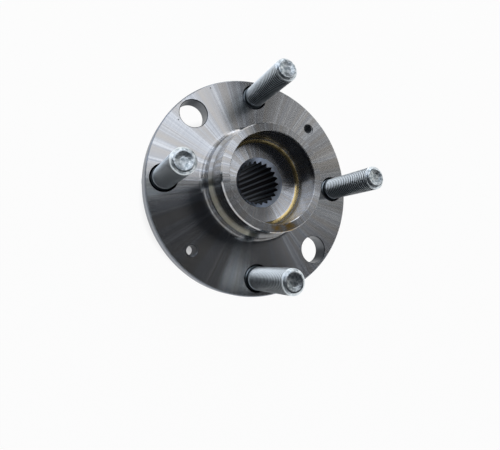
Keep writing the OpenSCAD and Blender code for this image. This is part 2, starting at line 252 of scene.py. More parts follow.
# Hub forging: one turned outline, then the holes, threads and spline cut out of it, in mm and degrees
hub = {
    "noseHeight": 21.8, "leadWidth": 0.55, "leadHeight": 0.95,
    "wheelPilotR": 28.05, "rotorPilotR": 29.5, "rotorPilotHeight": 6.9, "rootFillet": 2.9,
    "counterboreR": 23.6, "counterboreFloor": 5.0, "counterboreFillet": 2.8, "mouthChamfer": 0.3,
    "rimR": 59.3, "rimFrontChamfer": 0.6, "rimBackChamfer": 1.0, "flangeThickness": 9.2,
    "webR": 40.45, "webSlope": 4.5, "webRise": 1.8,
    "bossR": 23.5, "bossHeight": 6.0, "bossFillet": 2.0, "bossChamfer": 0.5,
    "spindleR": 18.99, "spindleFillet": 1.0, "spindleEnd": -51.7,
    "spindleLeadWidth": 0.6, "spindleLeadHeight": 2.0, "edgeBreak": 0.12,
    "segments": 360, "cornerSteps": 4, "arcStep": 0.45, "smoothBelow": 28,
    "studCircleR": 50.0, "studHoleR": 6.51, "studCountersink": 0.8, "studAngles": (0, 90, 180, 270),
    "accessHoleR": 7.5, "accessChamfer": 0.4, "accessAngles": (135, 315),
    "screwAngles": (45, 225), "screwCoreR": 2.5, "screwThreadR": 2.97, "screwPitch": 1.0, "screwChamfer": 0.8,
    "teeth": 22, "majorR": 12.0, "minorR": 10.8, "pressureAngle": 45, "flankSteps": 6,
    "mouthR": 13.55, "mouthDepth": 0.8,  # the cone breaks the tooth ends down to this far inside their tips
    "cutterOver": 1.0,  # how far a cutter reaches past the face that it cuts
    "studHoleSegments": 96, "accessSegments": 128, "mouthSegments": 180,
}


# Forged steel, turned on a lathe: fine grooves round the axis spread a highlight along the profile,
# and slight chatter of the tool breaks it into rays, which are also painted into the colour as lighter
# streaks: painted highlight
turnedSteel = {
    "name": "turnedForgedSteel",
    "colour": "#B4B5B7",
    # the lighter colour of the rays and feed rings: a painted highlight
    "paintedHighlightColour": "#DCDEE0",
    "warmTint": "#C0B8AC",
    "coolTint": "#AEB6C2",
    "tintShare": 0.4,
    "tintSpan": (0.35, 0.65),  # the part of the broad noise that goes from warm to cool
    "roughness": 0.22,
    "roughnessSpread": 0.02,
    "anisotropy": 1.0,
    "blotchMm": 18,
    "rayWidthMm": 5.0,
    "rayDepthMm": 0.025,
    "fineRayMm": 1.3,  # drawn coarser than the real 0.1 mm, so that it shows
    "feedMm": 1.4,  # drawn coarser than the real 0.2 mm, so that the rings show
    # how far the broad rays, the fine rays and the feed rings lighten the steel's colour: painted highlight
    # streaks and rings
    "broadShade": 0.6,
    "rayShade": 1.0,
    "feedShade": 0.12,
    "paintedHighlightSpan": (0.48, 0.74, 0.75),  # marks from and to, and the most that the painted highlight colour takes
    # a coarser tool left the rotor pilot's taper: height from and to, added roughness, soft edge
    "coarseBand": (6.9, 8.4, 0.08, 0.2),
    # oil left by the press: azimuth, radius and height, each from and to, then strength, patchy and colour
    "oilPlaces": [
        (266, 298, 23.2, 28.2, 20.6, 22.5, 0.85, True, "#BE9426"),
        (0, 360, 21.6, 23.7, 4.9, 6.6, 0.75, False, "#DDBF6E"),
        (180, 262, 28.0, 29.6, 6.8, 8.5, 0.4, False, "#C9C39A"),
    ],
    "oilSoftDegrees": 8,
    "oilSoftMm": 0.4,
    "smearMm": 3.85,
    "smearSpan": (0.42, 0.62),
    # small pits in the wheel face: x, y, radius
    "pits": [(-43.4, 30.8, 0.35), (-26.2, 51.1, 0.35)],
    "pitColour": "#0C0C0D",
}

# The pilots and the counterbore are turned with a finer feed, so they mirror what lies beside them
pilotSteel = dict(
    turnedSteel, name="fineTurnedPilotSteel", roughness=0.12, broadShade=0.2, rayShade=0.5, feedShade=0.3)

# The rim is rough turned, with a colour darker and bluer than the faces
rimSteel = dict(
    turnedSteel, name="roughTurnedRimSteel", roughness=0.24, colour="#777D86", paintedHighlightColour="#A0A6AF",
    warmTint="#7C7B7A", coolTint="#757E8A", broadShade=0, rayShade=0.2, feedShade=0.9,
    oilPlaces=[], pits=[])

# The bearing's rings are ground: finer grooves round the axis, a cleaner and brighter grey
ringSteel = dict(
    turnedSteel, name="groundBearingSteel", roughness=0.24, colour="#A6A9AD", paintedHighlightColour="#C2C5C9",
    warmTint="#A8A8A8", coolTint="#A4A9AF", rayDepthMm=0.004, feedMm=0.8,
    broadShade=0, rayShade=0, feedShade=0.9, oilPlaces=[], pits=[])


def softBand(tree, value, low, high, soft, level=1):
    # the level between the two limits and 0 outside them, with soft edges
    rise = addNode(tree, "ShaderNodeMapRange", {"interpolation_type": "SMOOTHSTEP"}, {
        "Value": value, "From Min": low - soft / 2, "From Max": low + soft / 2,
        "To Max": level}).outputs["Result"]
    return addNode(tree, "ShaderNodeMapRange", {"interpolation_type": "SMOOTHSTEP"}, {
        "Value": value, "From Min": high - soft / 2, "From Max": high + soft / 2,
        "To Min": rise, "To Max": 0}).outputs["Result"]


def turnedSteelMaterial(settings):
    material = newMaterial(settings["name"])
    tree = material.node_tree
    place = addNode(tree, "ShaderNodeTexCoord").outputs["Object"]
    x, y, z = addNode(tree, "ShaderNodeSeparateXYZ", None, {0: place}).outputs
    flat = addNode(tree, "ShaderNodeCombineXYZ", None, {0: x, 1: y}).outputs[0]
    radius = addNode(tree, "ShaderNodeVectorMath", {"operation": "LENGTH"}, {0: flat}).outputs["Value"]
    spoke = addNode(tree, "ShaderNodeVectorMath", {"operation": "NORMALIZE"}, {0: flat}).outputs[0]

    # rays: noise that changes round the axis only
    broadRays = addNode(tree, "ShaderNodeTexNoise", None, {
        "Vector": spoke, "Scale": hub["studCircleR"] / settings["rayWidthMm"],
        "Detail": 2, "Roughness": 0.5}).outputs["Fac"]
    fineRays = addNode(tree, "ShaderNodeTexNoise", None, {
        "Vector": spoke, "Scale": hub["studCircleR"] / settings["fineRayMm"],
        "Detail": 2, "Roughness": 0.6}).outputs["Fac"]
    # feed rings: noise that changes along the profile only
    along = addNode(tree, "ShaderNodeMath", {"operation": "SUBTRACT"}, {0: radius, 1: z}).outputs[0]
    rings = addNode(tree, "ShaderNodeTexNoise", {"noise_dimensions": "1D"}, {
        "W": along, "Scale": 1 / (settings["feedMm"] * mm), "Detail": 2}).outputs["Fac"]
    blotch = addNode(tree, "ShaderNodeTexNoise", None, {
        "Vector": place, "Scale": 1 / (settings["blotchMm"] * mm),
        "Detail": 3, "Roughness": 0.6}).outputs["Fac"]

    # the steel's own tint, from warm to cool with the broad rays
    warmAt, coolAt = settings["tintSpan"]
    tint = addNode(tree, "ShaderNodeMapRange", {"data_type": "FLOAT_VECTOR"}, {
        6: broadRays, 7: (warmAt, warmAt, warmAt), 8: (coolAt, coolAt, coolAt),
        9: linearColour(settings["warmTint"])[:3],
        10: linearColour(settings["coolTint"])[:3]}).outputs["Vector"]
    steel = addNode(tree, "ShaderNodeMix", {"data_type": "RGBA"}, {
        "Factor": settings["tintShare"], "A": linearColour(settings["colour"]), "B": tint}).outputs["Result"]

    # all marks in one value, which is 0.5 where every noise is at its middle
    shades = (
        (broadRays, settings["broadShade"]), (fineRays, settings["rayShade"]), (rings, settings["feedShade"]))
    marks = 0.5 - 0.5 * sum(shade for noise, shade in shades)
    for noise, shade in shades:
        marks = addNode(tree, "ShaderNodeMath", {"operation": "MULTIPLY_ADD"}, {
            0: noise, 1: shade, 2: marks}).outputs[0]
    # the marks lighten the colour along the rays and feed rings: painted highlight
    brightFrom, brightTo, brightMost = settings["paintedHighlightSpan"]
    paintedHighlight = addNode(tree, "ShaderNodeMapRange", None, {
        "Value": marks, "From Min": brightFrom, "From Max": brightTo, "To Max": brightMost}).outputs["Result"]
    colour = addNode(tree, "ShaderNodeMix", {"data_type": "RGBA"}, {
        "Factor": paintedHighlight, "A": steel, "B": linearColour(settings["paintedHighlightColour"])}).outputs["Result"]

    # oil
    azimuth = addNode(tree, "ShaderNodeMath", {"operation": "ARCTAN2"}, {0: y, 1: x}).outputs[0]
    azimuth = addNode(tree, "ShaderNodeMath", {"operation": "DEGREES"}, {0: azimuth}).outputs[0]
    azimuth = addNode(tree, "ShaderNodeMath", {"operation": "FLOORED_MODULO"}, {
        0: azimuth, 1: 360}).outputs[0]
    smear = addNode(tree, "ShaderNodeTexNoise", None, {
        "Vector": place, "Scale": 1 / (settings["smearMm"] * mm),
        "Detail": 4, "Roughness": 0.7}).outputs["Fac"]
    softTurn, softEdge = settings["oilSoftDegrees"], settings["oilSoftMm"] * mm
    smearFrom, smearTo = settings["smearSpan"]
    for fromAngle, toAngle, fromR, toR, fromZ, toZ, strength, patchy, oil in settings["oilPlaces"]:
        share = softBand(tree, azimuth, fromAngle, toAngle, softTurn, strength)
        share = softBand(tree, radius, fromR * mm, toR * mm, softEdge, share)
        share = softBand(tree, z, fromZ * mm, toZ * mm, softEdge, share)
        if patchy:
            share = addNode(tree, "ShaderNodeMapRange", None, {
                "Value": smear, "From Min": smearFrom, "From Max": smearTo,
                "To Max": share}).outputs["Result"]
        colour = addNode(tree, "ShaderNodeMix", {"data_type": "RGBA"}, {
            "Factor": share, "A": colour, "B": linearColour(oil)}).outputs["Result"]

    for pitX, pitY, size in settings["pits"]:
        away = addNode(tree, "ShaderNodeVectorMath", {"operation": "DISTANCE"}, {
            0: place, 1: (pitX * mm, pitY * mm, 0)}).outputs["Value"]
        inPit = addNode(tree, "ShaderNodeMath", {"operation": "LESS_THAN"}, {
            0: away, 1: size * mm}).outputs[0]
        colour = addNode(tree, "ShaderNodeMix", {"data_type": "RGBA"}, {
            "Factor": inPit, "A": colour, "B": linearColour(settings["pitColour"])}).outputs["Result"]

    even = addNode(tree, "ShaderNodeMapRange", None, {
        "Value": blotch, "To Min": settings["roughness"] - settings["roughnessSpread"],
        "To Max": settings["roughness"] + settings["roughnessSpread"]}).outputs["Result"]
    bandFrom, bandTo, added, bandSoft = settings["coarseBand"]
    coarse = softBand(tree, z, bandFrom * mm, bandTo * mm, bandSoft * mm, added)
    rough = addNode(tree, "ShaderNodeMath", {"operation": "ADD"}, {0: even, 1: coarse}).outputs[0]
    bump = addNode(tree, "ShaderNodeBump", None, {
        "Height": broadRays, "Strength": 1, "Distance": settings["rayDepthMm"] * mm}).outputs["Normal"]

    # the tangent runs along the profile, at right angles to the grooves
    groove = addNode(tree, "ShaderNodeVectorMath", {"operation": "CROSS_PRODUCT"}, {
        0: (0, 0, 1), 1: flat}).outputs[0]
    groove = addNode(tree, "ShaderNodeVectorTransform", {
        "vector_type": "VECTOR", "convert_from": "OBJECT", "convert_to": "WORLD"}, {0: groove}).outputs[0]
    surface = addNode(tree, "ShaderNodeNewGeometry").outputs["Normal"]
    across = addNode(tree, "ShaderNodeVectorMath", {"operation": "CROSS_PRODUCT"}, {
        0: groove, 1: surface}).outputs[0]
    tangent = addNode(tree, "ShaderNodeVectorMath", {"operation": "NORMALIZE"}, {0: across}).outputs[0]
    return finishMaterial(material, addNode(tree, "ShaderNodeBsdfPrincipled", None, {
        "Base Color": colour, "Metallic": 1, "Roughness": rough, "Anisotropic": settings["anisotropy"],
        "Tangent": tangent, "Normal": bump}))


# Broached steel: the spline's flanks, drawn along the axis, with the tooth spaces darkened: painted shade
# between the teeth
broachedSteel = {
    "colour": "#AEB6C0", "streakColour": "#767C86", "spaceShadeColour": "#1B1D22", "roughness": 0.3,
    "streakMm": 0.5, "streakLengthMm": 12, "streakDepthMm": 0.02, "streakStrength": 0.5,
    # how far above the teeth's tips the shade starts, and how far before their roots it is full
    "darkFromMm": 0.1, "darkBeforeMm": 0.3,
}


def broachedSteelMaterial():
    material = newMaterial("broachedSplineSteel")
    tree = material.node_tree
    place = addNode(tree, "ShaderNodeTexCoord").outputs["Object"]
    x, y, z = addNode(tree, "ShaderNodeSeparateXYZ", None, {0: place}).outputs
    flat = addNode(tree, "ShaderNodeCombineXYZ", None, {0: x, 1: y}).outputs[0]
    radius = addNode(tree, "ShaderNodeVectorMath", {"operation": "LENGTH"}, {0: flat}).outputs["Value"]
    stretched = addNode(tree, "ShaderNodeMapping", None, {"Vector": place, "Scale": (
        1, 1, broachedSteel["streakMm"] / broachedSteel["streakLengthMm"])}).outputs[0]
    streaks = addNode(tree, "ShaderNodeTexNoise", None, {
        "Vector": stretched, "Scale": 1 / (broachedSteel["streakMm"] * mm), "Detail": 3}).outputs["Fac"]
    land = addNode(tree, "ShaderNodeMix", {"data_type": "RGBA"}, {
        "Factor": streaks, "A": linearColour(broachedSteel["streakColour"]),
        "B": linearColour(broachedSteel["colour"])}).outputs["Result"]
    deep = addNode(tree, "ShaderNodeMapRange", None, {
        "Value": radius, "From Min": (hub["minorR"] + broachedSteel["darkFromMm"]) * mm,
        "From Max": (hub["majorR"] - broachedSteel["darkBeforeMm"]) * mm}).outputs["Result"]
    colour = addNode(tree, "ShaderNodeMix", {"data_type": "RGBA"}, {
        "Factor": deep, "A": land, "B": linearColour(broachedSteel["spaceShadeColour"])}).outputs["Result"]
    bump = addNode(tree, "ShaderNodeBump", None, {
        "Height": streaks, "Strength": broachedSteel["streakStrength"],
        "Distance": broachedSteel["streakDepthMm"] * mm}).outputs["Normal"]
    return finishMaterial(material, addNode(tree, "ShaderNodeBsdfPrincipled", None, {
        "Base Color": colour, "Metallic": 1, "Roughness": broachedSteel["roughness"], "Normal": bump}))


# Drilled steel: the bolt and access holes, darker than the faces: painted shade inside the holes
drilledSteel = {
    "colour": "#6E7175", "secondColour": "#56595D", "metallic": 1,
    "roughness": 0.36, "roughnessSpread": 0.05, "blotchMm": 3, "grainMm": 0.6, "grainDepthMm": 0.01,
}
# The countersinks round the studs are coloured near black: painted shade in the gap round each stud, which
# reads as a black ring
countersinkShadeSteel = {
    "colour": "#232426", "secondColour": "#151617", "metallic": 1,
    "roughness": 0.5, "roughnessSpread": 0.05, "blotchMm": 2, "grainMm": 0.4, "grainDepthMm": 0.01,
}
# The ends of the teeth are coloured bright with a bluish cast: a painted highlight where their chamfers catch
# the light
toothEndHighlightSteel = {
    "colour": "#E4ECF8", "secondColour": "#D2DCEA", "metallic": 1,
    "roughness": 0.34, "roughnessSpread": 0.04, "blotchMm": 2, "grainMm": 0.4, "grainDepthMm": 0.006,
}


def finishedSurface(name, settings, tipFrom=None):
    # a plain metal, rubber or plastic: two tones, uneven gloss and a fine grain
    material = newMaterial(name)
    tree = material.node_tree
    place = addNode(tree, "ShaderNodeTexCoord").outputs["Object"]
    blotch = addNode(tree, "ShaderNodeTexNoise", None, {
        "Vector": place, "Scale": 1 / (settings["blotchMm"] * mm),
        "Detail": 4, "Roughness": 0.6}).outputs["Fac"]
    noiseFrom, noiseTo = 0.3, 0.7  # nearly all of the noise lies between these
    rough = addNode(tree, "ShaderNodeMapRange", None, {
        "Value": blotch, "From Min": noiseFrom, "From Max": noiseTo,
        "To Min": settings["roughness"] - settings["roughnessSpread"],
        "To Max": settings["roughness"] + settings["roughnessSpread"]}).outputs["Result"]
    grain = addNode(tree, "ShaderNodeTexNoise", None, {
        "Vector": place, "Scale": 1 / (settings["grainMm"] * mm), "Detail": 2}).outputs["Fac"]
    height = addNode(tree, "ShaderNodeMath", {"operation": "MULTIPLY"}, {
        0: grain, 1: settings["grainDepthMm"] * mm}).outputs[0]
    tint = addNode(tree, "ShaderNodeMix", {"data_type": "RGBA"}, {
        "Factor": blotch, "A": linearColour(settings["colour"]),
        "B": linearColour(settings["secondColour"])}).outputs["Result"]
    if tipFrom is not None:
        tint, height = studMarks(tree, place, settings, tipFrom, tint, height)
    bump = addNode(tree, "ShaderNodeBump", None, {
        "Height": height, "Strength": 1, "Distance": 1}).outputs["Normal"]
    return finishMaterial(material, addNode(tree, "ShaderNodeBsdfPrincipled", None, {
        "Base Color": tint, "Metallic": settings["metallic"], "Roughness": rough, "Normal": bump}))


def studMarks(tree, place, settings, tipFrom, tint, height):
    # dents on the tip, painted shade at the foot next to the flange, and painted shade in the thread's roots
    beyond = 1.0  # metres, past both ends of a stud
    tipSoft, footSoft = settings["tipSoft"] * mm, settings["footSoft"] * mm
    z = addNode(tree, "ShaderNodeSeparateXYZ", None, {0: place}).outputs["Z"]
    dents = addNode(tree, "ShaderNodeTexNoise", None, {
        "Vector": place, "Scale": 1 / (settings["dentMm"] * mm), "Detail": 2}).outputs["Fac"]
    dentHeight = softBand(tree, z, tipFrom * mm, beyond, tipSoft, settings["dentDepthMm"] * mm)
    height = addNode(tree, "ShaderNodeMath", {"operation": "MULTIPLY_ADD"}, {
        0: dents, 1: dentHeight, 2: height}).outputs[0]
    spotFrom, spotTo, spotMost = settings["spotSpan"]
    spots = addNode(tree, "ShaderNodeMapRange", None, {
        "Value": dents, "From Min": spotFrom, "From Max": spotTo, "To Max": spotMost}).outputs["Result"]
    depth = addNode(tree, "ShaderNodeAttribute", {"attribute_name": "grooveDepth"}).outputs["Fac"]
    grooveFrom, grooveTo = settings["grooveSpan"]
    inGroove = addNode(tree, "ShaderNodeMapRange", None, {
        "Value": depth, "From Min": grooveFrom, "From Max": grooveTo}).outputs["Result"]
    marks = (
        (softBand(tree, z, tipFrom * mm, beyond, tipSoft, spots), "spotColour"),
        (softBand(tree, z, -beyond, settings["footTo"] * mm, footSoft), "footShadeColour"),
        (inGroove, "grooveShadeColour"))
    for share, colour in marks:
        tint = addNode(tree, "ShaderNodeMix", {"data_type": "RGBA"}, {
            "Factor": share, "A": tint, "B": linearColour(settings[colour])}).outputs["Result"]
    return tint, height


# Bright zinc plate on rolled steel: a bluish silver, with tips dented by the cold header
zincPlate = {
    "colour": "#F0F6F9", "secondColour": "#DDE6EB", "metallic": 1,
    "roughness": 0.33, "roughnessSpread": 0.04, "blotchMm": 2.5, "grainMm": 0.5, "grainDepthMm": 0.003,
    "tipDepth": 1.0, "tipSoft": 0.3,  # mm of the tip that the dents cover, and their soft edge
    "dentMm": 1.5, "dentDepthMm": 0.12, "spotColour": "#8C9AA3", "spotSpan": (0.4, 0.62, 0.8),
    # the thread's roots are coloured dark: painted shade
    "grooveShadeColour": "#2C343A", "grooveSpan": (0.2, 0.55),
    "footTo": 2.6, "footSoft": 1.2, "footShadeColour": "#8C979F",  # painted shade darkens the foot, next to the flange
}


def roundedOutline(corners, steps):
    # each corner is (r, z, radius): the radius is rounded with an arc of that many steps
    points = []
    for before, corner, after in zip([corners[0]] + corners[:-1], corners, corners[1:] + [corners[-1]]):
        here = Vector(corner[:2])
        inward, outward = Vector(before[:2]) - here, Vector(after[:2]) - here
        if corner[2] == 0 or inward.length == 0 or outward.length == 0:
            points.append(tuple(here))
            continue
        inward.normalize()
        outward.normalize()
        halfAngle = inward.angle(outward) / 2
        reach = corner[2] / math.tan(halfAngle)
        centre = here + (inward + outward).normalized() * corner[2] / math.sin(halfAngle)
        start, end = here + inward * reach - centre, here + outward * reach - centre
        sweep = start.angle_signed(end)
        count = max(steps, math.ceil(abs(sweep) * corner[2] / hub["arcStep"]))
        for k in range(count + 1):
            a = -sweep * k / count
            points.append((
                centre.x + start.x * math.cos(a) - start.y * math.sin(a),
                centre.y + start.x * math.sin(a) + start.y * math.cos(a)))
    return points


def revolve(name, outline, segments, centre=(0, 0)):
    # a closed solid of revolution: the outline starts and ends on the axis
    work = bmesh.new()
    rings = []
    for r, z in outline:
        if math.isclose(r, 0, abs_tol=1e-9):
            rings.append([work.verts.new((centre[0] * mm, centre[1] * mm, z * mm))])
            continue
        ring = []
        for k in range(segments):
            a = 2 * math.pi * k / segments
            ring.append(work.verts.new((
                (centre[0] + r * math.cos(a)) * mm, (centre[1] + r * math.sin(a)) * mm, z * mm)))
        rings.append(ring)
    for first, second in zip(rings, rings[1:]):
        for k in range(segments):
            n = (k + 1) % segments
            if len(first) == 1:
                work.faces.new((first[0], second[n], second[k]))
            elif len(second) == 1:
                work.faces.new((first[k], first[n], second[0]))
            else:
                work.faces.new((first[k], first[n], second[n], second[k]))
    bmesh.ops.recalc_face_normals(work, faces=work.faces)
    mesh = bpy.data.meshes.new(name)
    work.to_mesh(mesh)
    work.free()
    return mesh


def hubOutline():
    back = -hub["flangeThickness"]
    web = back - hub["webRise"]
    shoulder = back - hub["bossHeight"]
    edge = hub["edgeBreak"]
    step = hub["rotorPilotR"] - hub["wheelPilotR"]
    corners = [
        (0, hub["counterboreFloor"], 0),
        (hub["counterboreR"], hub["counterboreFloor"], hub["counterboreFillet"]),
        (hub["counterboreR"], hub["noseHeight"] - hub["mouthChamfer"], edge),
        (hub["counterboreR"] + hub["mouthChamfer"], hub["noseHeight"], edge),
        (hub["wheelPilotR"] - hub["leadWidth"], hub["noseHeight"], edge),
        (hub["wheelPilotR"], hub["noseHeight"] - hub["leadHeight"], edge),
        (hub["wheelPilotR"], hub["rotorPilotHeight"] + step, edge),
        (hub["rotorPilotR"], hub["rotorPilotHeight"], edge),
        (hub["rotorPilotR"], 0, hub["rootFillet"]),
        (hub["rimR"] - hub["rimFrontChamfer"], 0, edge),
        (hub["rimR"], -hub["rimFrontChamfer"], edge),
        (hub["rimR"], back + hub["rimBackChamfer"], edge),
        (hub["rimR"] - hub["rimBackChamfer"], back, edge),
        (hub["webR"], back, hub["bossFillet"]),
        (hub["webR"] - hub["webSlope"], web, hub["bossFillet"]),
        (hub["bossR"], web, hub["bossFillet"]),
        (hub["bossR"], shoulder + hub["bossChamfer"], edge),
        (hub["bossR"] - hub["bossChamfer"], shoulder, edge),
        (hub["spindleR"], shoulder, hub["spindleFillet"]),
        (hub["spindleR"], hub["spindleEnd"] + hub["spindleLeadHeight"], edge),
        (hub["spindleR"] - hub["spindleLeadWidth"], hub["spindleEnd"], edge),
        (0, hub["spindleEnd"], 0),
    ]
    return roundedOutline(corners, hub["cornerSteps"])


def holeOutline(radius, chamfer):
    # a through hole with a countersink at both faces, as a solid to cut with
    back = -hub["flangeThickness"]
    over = hub["cutterOver"]
    return [
        (0, over), (radius + chamfer + over, over), (radius, -chamfer),
        (radius, back + chamfer), (radius + chamfer + over, back - over), (0, back - over)]


def onCircle(radius, degrees):
    a = math.radians(degrees)
    return radius * math.cos(a), radius * math.sin(a)


def involute(a):
    return math.tan(a) - a


def splineCutter():
    # tooth spaces with involute flanks, as a prism to cut with
    pressure = math.radians(hub["pressureAngle"])
    baseR = (hub["minorR"] + hub["majorR"]) / 2 * math.cos(pressure)
    step = 360 / hub["teeth"]
    outline = []
    for i in range(hub["teeth"]):
        flank = []
        for k in range(hub["flankSteps"]):
            r = hub["minorR"] + (hub["majorR"] - hub["minorR"]) * k / (hub["flankSteps"] - 1)
            half = step / 4 + math.degrees(involute(pressure) - involute(math.acos(baseR / r)))
            flank.append((r, half))
        outline += [onCircle(r, i * step - half) for r, half in flank]
        outline += [onCircle(r, i * step + half) for r, half in reversed(flank)]
        # three points along the tip of the tooth that follows
        outline += [onCircle(hub["minorR"], (i + share) * step) for share in (0.4, 0.5, 0.6)]
    top, bottom = hub["counterboreFloor"] + hub["cutterOver"], hub["spindleEnd"] - hub["cutterOver"]
    return prism("splineCutter", outline, bottom, top)


def prism(name, outline, bottom, top):
    work = bmesh.new()
    low = [work.verts.new((x * mm, y * mm, bottom * mm)) for x, y in outline]
    high = [work.verts.new((x * mm, y * mm, top * mm)) for x, y in outline]
    work.faces.new(low)
    work.faces.new(high)
    for k in range(len(outline)):
        n = (k + 1) % len(outline)
        work.faces.new((low[k], low[n], high[n], high[k]))
    bmesh.ops.recalc_face_normals(work, faces=work.faces)
    mesh = bpy.data.meshes.new(name)
    work.to_mesh(mesh)
    work.free()
    return mesh


# Threads and knurls: a geometry tree that moves a blank's surface in and out along its own axis
def threadTree():
    tree = bpy.data.node_groups.new("threadAndKnurl", "GeometryNodeTree")
    tree.interface.new_socket("Geometry", in_out="INPUT", socket_type="NodeSocketGeometry")
    for name in ("Pitch", "Depth", "Thread Start", "Thread End", "Run Out", "Crest Share", "Root Share",
                 "Knurl Teeth", "Knurl Depth", "Knurl Start", "Knurl End"):
        tree.interface.new_socket(name, in_out="INPUT", socket_type="NodeSocketFloat")
    tree.interface.new_socket("Finish", in_out="INPUT", socket_type="NodeSocketMaterial")
    tree.interface.new_socket("Geometry", in_out="OUTPUT", socket_type="NodeSocketGeometry")
    given = addNode(tree, "NodeGroupInput").outputs
    tiny = 1e-6  # keeps a division by an unset depth from failing

    place = addNode(tree, "GeometryNodeInputPosition").outputs[0]
    x, y, z = addNode(tree, "ShaderNodeSeparateXYZ", None, {0: place}).outputs
    angle = addNode(tree, "ShaderNodeMath", {"operation": "ARCTAN2"}, {0: y, 1: x}).outputs[0]
    turns = addNode(tree, "ShaderNodeMath", {"operation": "DIVIDE"}, {0: angle, 1: 2 * math.pi}).outputs[0]

    # the helix: how far a point is through its own turn of the thread, with the crest at a half
    climb = addNode(tree, "ShaderNodeMath", {"operation": "DIVIDE"}, {0: z, 1: given["Pitch"]}).outputs[0]
    phase = addNode(tree, "ShaderNodeMath", {"operation": "SUBTRACT"}, {0: climb, 1: turns}).outputs[0]
    phase = addNode(tree, "ShaderNodeMath", {"operation": "FRACT"}, {0: phase}).outputs[0]
    away = addNode(tree, "ShaderNodeMath", {"operation": "SUBTRACT"}, {0: phase, 1: 0.5}).outputs[0]
    away = addNode(tree, "ShaderNodeMath", {"operation": "ABSOLUTE"}, {0: away}).outputs[0]
    away = addNode(tree, "ShaderNodeMath", {"operation": "MULTIPLY"}, {0: away, 1: 2}).outputs[0]
    rootFrom = addNode(tree, "ShaderNodeMath", {"operation": "SUBTRACT"}, {
        0: 1, 1: given["Root Share"]}).outputs[0]
    slope = addNode(tree, "ShaderNodeMapRange", None, {
        "Value": away, "From Min": given["Crest Share"], "From Max": rootFrom}).outputs["Result"]
    fullFrom = addNode(tree, "ShaderNodeMath", {"operation": "ADD"}, {
        0: given["Thread Start"], 1: given["Run Out"]}).outputs[0]
    slope = addNode(tree, "ShaderNodeMapRange", None, {
        "Value": z, "From Min": given["Thread Start"], "From Max": fullFrom,
        "To Max": slope}).outputs["Result"]
    onThread = addNode(tree, "ShaderNodeMath", {"operation": "LESS_THAN"}, {
        0: z, 1: given["Thread End"]}).outputs[0]
    cut = addNode(tree, "ShaderNodeMath", {"operation": "MULTIPLY"}, {0: slope, 1: onThread}).outputs[0]
    cut = addNode(tree, "ShaderNodeMath", {"operation": "MULTIPLY"}, {0: cut, 1: given["Depth"]}).outputs[0]

    # the knurl: straight teeth round the axis
    tooth = addNode(tree, "ShaderNodeMath", {"operation": "MULTIPLY"}, {
        0: turns, 1: given["Knurl Teeth"]}).outputs[0]
    tooth = addNode(tree, "ShaderNodeMath", {"operation": "PINGPONG"}, {0: tooth, 1: 0.5}).outputs[0]
    tooth = addNode(tree, "ShaderNodeMath", {"operation": "MULTIPLY"}, {0: tooth, 1: 2}).outputs[0]
    above = addNode(tree, "ShaderNodeMath", {"operation": "GREATER_THAN"}, {
        0: z, 1: given["Knurl Start"]}).outputs[0]
    below = addNode(tree, "ShaderNodeMath", {"operation": "LESS_THAN"}, {
        0: z, 1: given["Knurl End"]}).outputs[0]
    knurl = addNode(tree, "ShaderNodeMath", {"operation": "MULTIPLY"}, {0: above, 1: below}).outputs[0]
    knurl = addNode(tree, "ShaderNodeMath", {"operation": "MULTIPLY"}, {0: knurl, 1: tooth}).outputs[0]
    knurl = addNode(tree, "ShaderNodeMath", {"operation": "MULTIPLY"}, {
        0: knurl, 1: given["Knurl Depth"]}).outputs[0]

    # each point moves in by what the two take away, and keeps that depth for its colour
    taken = addNode(tree, "ShaderNodeMath", {"operation": "ADD"}, {0: cut, 1: knurl}).outputs[0]
    outward = addNode(tree, "ShaderNodeCombineXYZ", None, {0: x, 1: y}).outputs[0]
    outward = addNode(tree, "ShaderNodeVectorMath", {"operation": "NORMALIZE"}, {0: outward}).outputs[0]
    inward = addNode(tree, "ShaderNodeMath", {"operation": "MULTIPLY"}, {0: taken, 1: -1}).outputs[0]
    offset = addNode(tree, "ShaderNodeVectorMath", {"operation": "SCALE"}, {
        0: outward, "Scale": inward}).outputs[0]
    fullDepth = addNode(tree, "ShaderNodeMath", {"operation": "MAXIMUM"}, {
        0: given["Depth"], 1: tiny}).outputs[0]
    share = addNode(tree, "ShaderNodeMath", {"operation": "DIVIDE"}, {0: taken, 1: fullDepth}).outputs[0]
    marked = addNode(tree, "GeometryNodeStoreNamedAttribute", {"data_type": "FLOAT", "domain": "POINT"}, {
        "Geometry": given["Geometry"], "Name": "grooveDepth", "Value": share}).outputs[0]
    moved = addNode(tree, "GeometryNodeSetPosition", None, {"Geometry": marked, "Offset": offset}).outputs[0]
    real = addNode(tree, "GeometryNodeRealizeInstances", None, {0: moved}).outputs[0]
    dressed = addNode(tree, "GeometryNodeSetMaterial", None, {"Geometry": real, "Material": given["Finish"]})
    addNode(tree, "NodeGroupOutput", None, {"Geometry": dressed.outputs[0]})
    return tree


def setInputs(modifier, values):
    for item in modifier.node_group.interface.items_tree:
        if item.in_out == "INPUT" and item.name in values:
            modifier[item.identifier] = values[item.name]


